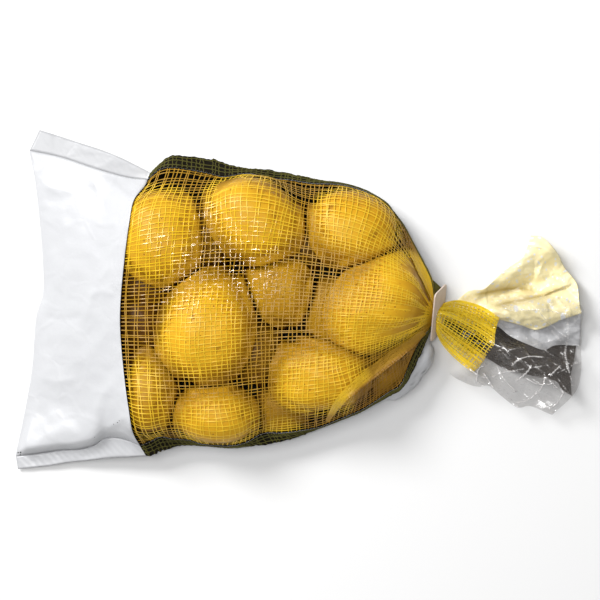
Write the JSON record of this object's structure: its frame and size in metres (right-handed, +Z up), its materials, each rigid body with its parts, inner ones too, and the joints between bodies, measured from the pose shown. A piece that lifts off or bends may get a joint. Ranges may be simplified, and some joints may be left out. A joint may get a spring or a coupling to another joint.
{
  "type": "net of potatoes",
  "caption": "Filled net bag of potatoes lying on its back, with a mesh window over the filled middle, a flat film foot, and a gathered neck that a tag closes below a spread film mouth.",
  "frame": {"origin": "below the middle of the bag's outline, on the surface that it lies on", "axes": "+X from the foot fold to the spread mouth, +Y across the bag, +Z up through the net side"},
  "size_m": [0.4404, 0.2641, 0.0635],
  "materials": {
    "yellow_net": "thin glossy yellow plastic net",
    "white_film": "satin white plastic film",
    "black_film": "glossy black plastic film",
    "yellow_film": "pale yellow plastic film with small white marks",
    "clear_film": "crumpled clear plastic film",
    "pale_tag": "satin pale pink plastic",
    "potato_skin": "washed yellow potato skin, slightly moist"
  },
  "bodies": {
    "root": {"film_foot": "white_film", "net_body": "yellow_net", "closure_tag": "pale_tag", "net_fan": "yellow_net", "film_black": "black_film", "film_white": "white_film", "film_yellow": "yellow_film", "film_clear": "clear_film"}
  },
  "joints": []
}
